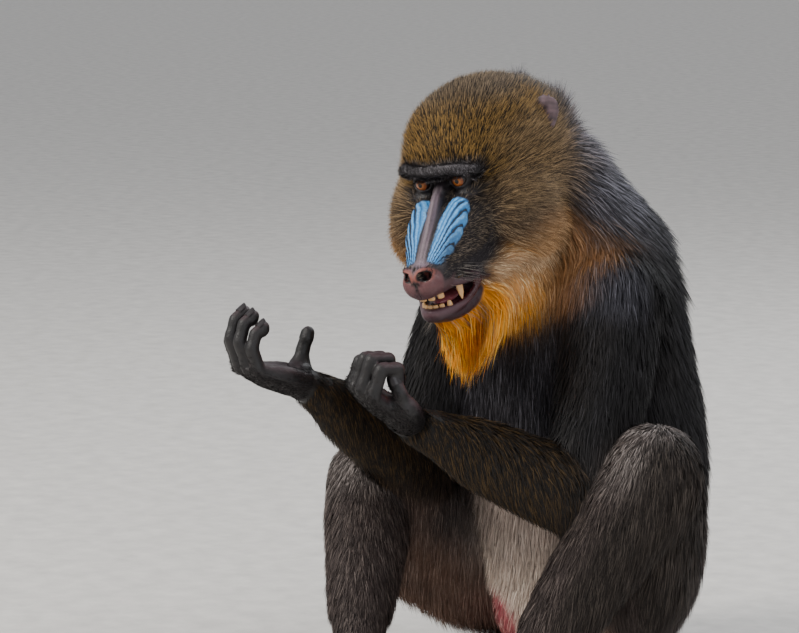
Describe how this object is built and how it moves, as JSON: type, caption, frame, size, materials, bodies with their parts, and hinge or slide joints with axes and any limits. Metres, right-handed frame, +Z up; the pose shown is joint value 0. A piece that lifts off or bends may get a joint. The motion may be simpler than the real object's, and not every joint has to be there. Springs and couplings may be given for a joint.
{
  "type": "mandrill",
  "caption": "Still, life-size seated mandrill with raised knees, both hands held out palms up below an open-mouthed, blue-ridged face.",
  "frame": {"origin": "on the floor, under the middle of the model's bounding box", "axes": "+Z up, -Y the way the trunk faces, +X the animal's left side"},
  "size_m": [0.4396, 0.5716, 0.6224],
  "materials": {
    "eye": "glossy amber iris with a small black pupil",
    "tooth": "glossy cream enamel",
    "tongue": "wet dark pink",
    "ear_skin": "bare lilac-brown skin",
    "ridge_skin": "bare sky-blue skin with dark lengthwise grooves",
    "nose_skin": "bare maroon-pink skin with a satin sheen",
    "face_skin": "dark purple-grey skin with short fine hair",
    "lip_skin": "bare dark purple-brown skin",
    "beard_fur": "soft orange fur",
    "crown_fur": "short ticked gold and black fur",
    "brow_fur": "short black bristles",
    "mane_fur": "long soft blue-black fur",
    "arm_fur": "short olive-brown fur ticked with gold",
    "leg_fur": "soft grey-brown fur",
    "hand_skin": "bare black skin with fine creases"
  },
  "bodies": {
    "root": {"eye_left": "eye", "eye_right": "eye", "ear_left": "ear_skin", "ear_right": "ear_skin", "brow": "brow_fur", "upper_teeth": "tooth", "lower_teeth": "tooth", "upper_canine_left": "tooth", "upper_canine_right": "tooth", "cheek_ridge_left": "ridge_skin", "cheek_ridge_right": "ridge_skin", "nose": "nose_skin", "muzzle": "face_skin", "tongue": "tongue", "lower_jaw": "lip_skin", "beard": "beard_fur", "head": "crown_fur", "neck": "mane_fur", "trunk": "mane_fur", "tail": "mane_fur", "upper_arm_left": "mane_fur", "upper_arm_right": "mane_fur", "forearm_left": "arm_fur", "forearm_right": "arm_fur", "thigh_left": "leg_fur", "thigh_right": "leg_fur", "shank_left": "leg_fur", "shank_right": "leg_fur", "hand_left": "hand_skin", "finger_index_left": "hand_skin", "finger_middle_left": "hand_skin", "finger_ring_left": "hand_skin", "finger_little_left": "hand_skin", "thumb_left": "hand_skin", "hand_right": "hand_skin", "finger_index_right": "hand_skin", "finger_middle_right": "hand_skin", "finger_ring_right": "hand_skin", "finger_little_right": "hand_skin", "thumb_right": "hand_skin", "foot_left": "hand_skin", "toe_second_left": "hand_skin", "toe_third_left": "hand_skin", "toe_fourth_left": "hand_skin", "toe_fifth_left": "hand_skin", "great_toe_left": "hand_skin", "foot_right": "hand_skin", "toe_second_right": "hand_skin", "toe_third_right": "hand_skin", "toe_fourth_right": "hand_skin", "toe_fifth_right": "hand_skin", "great_toe_right": "hand_skin"}
  },
  "joints": []
}
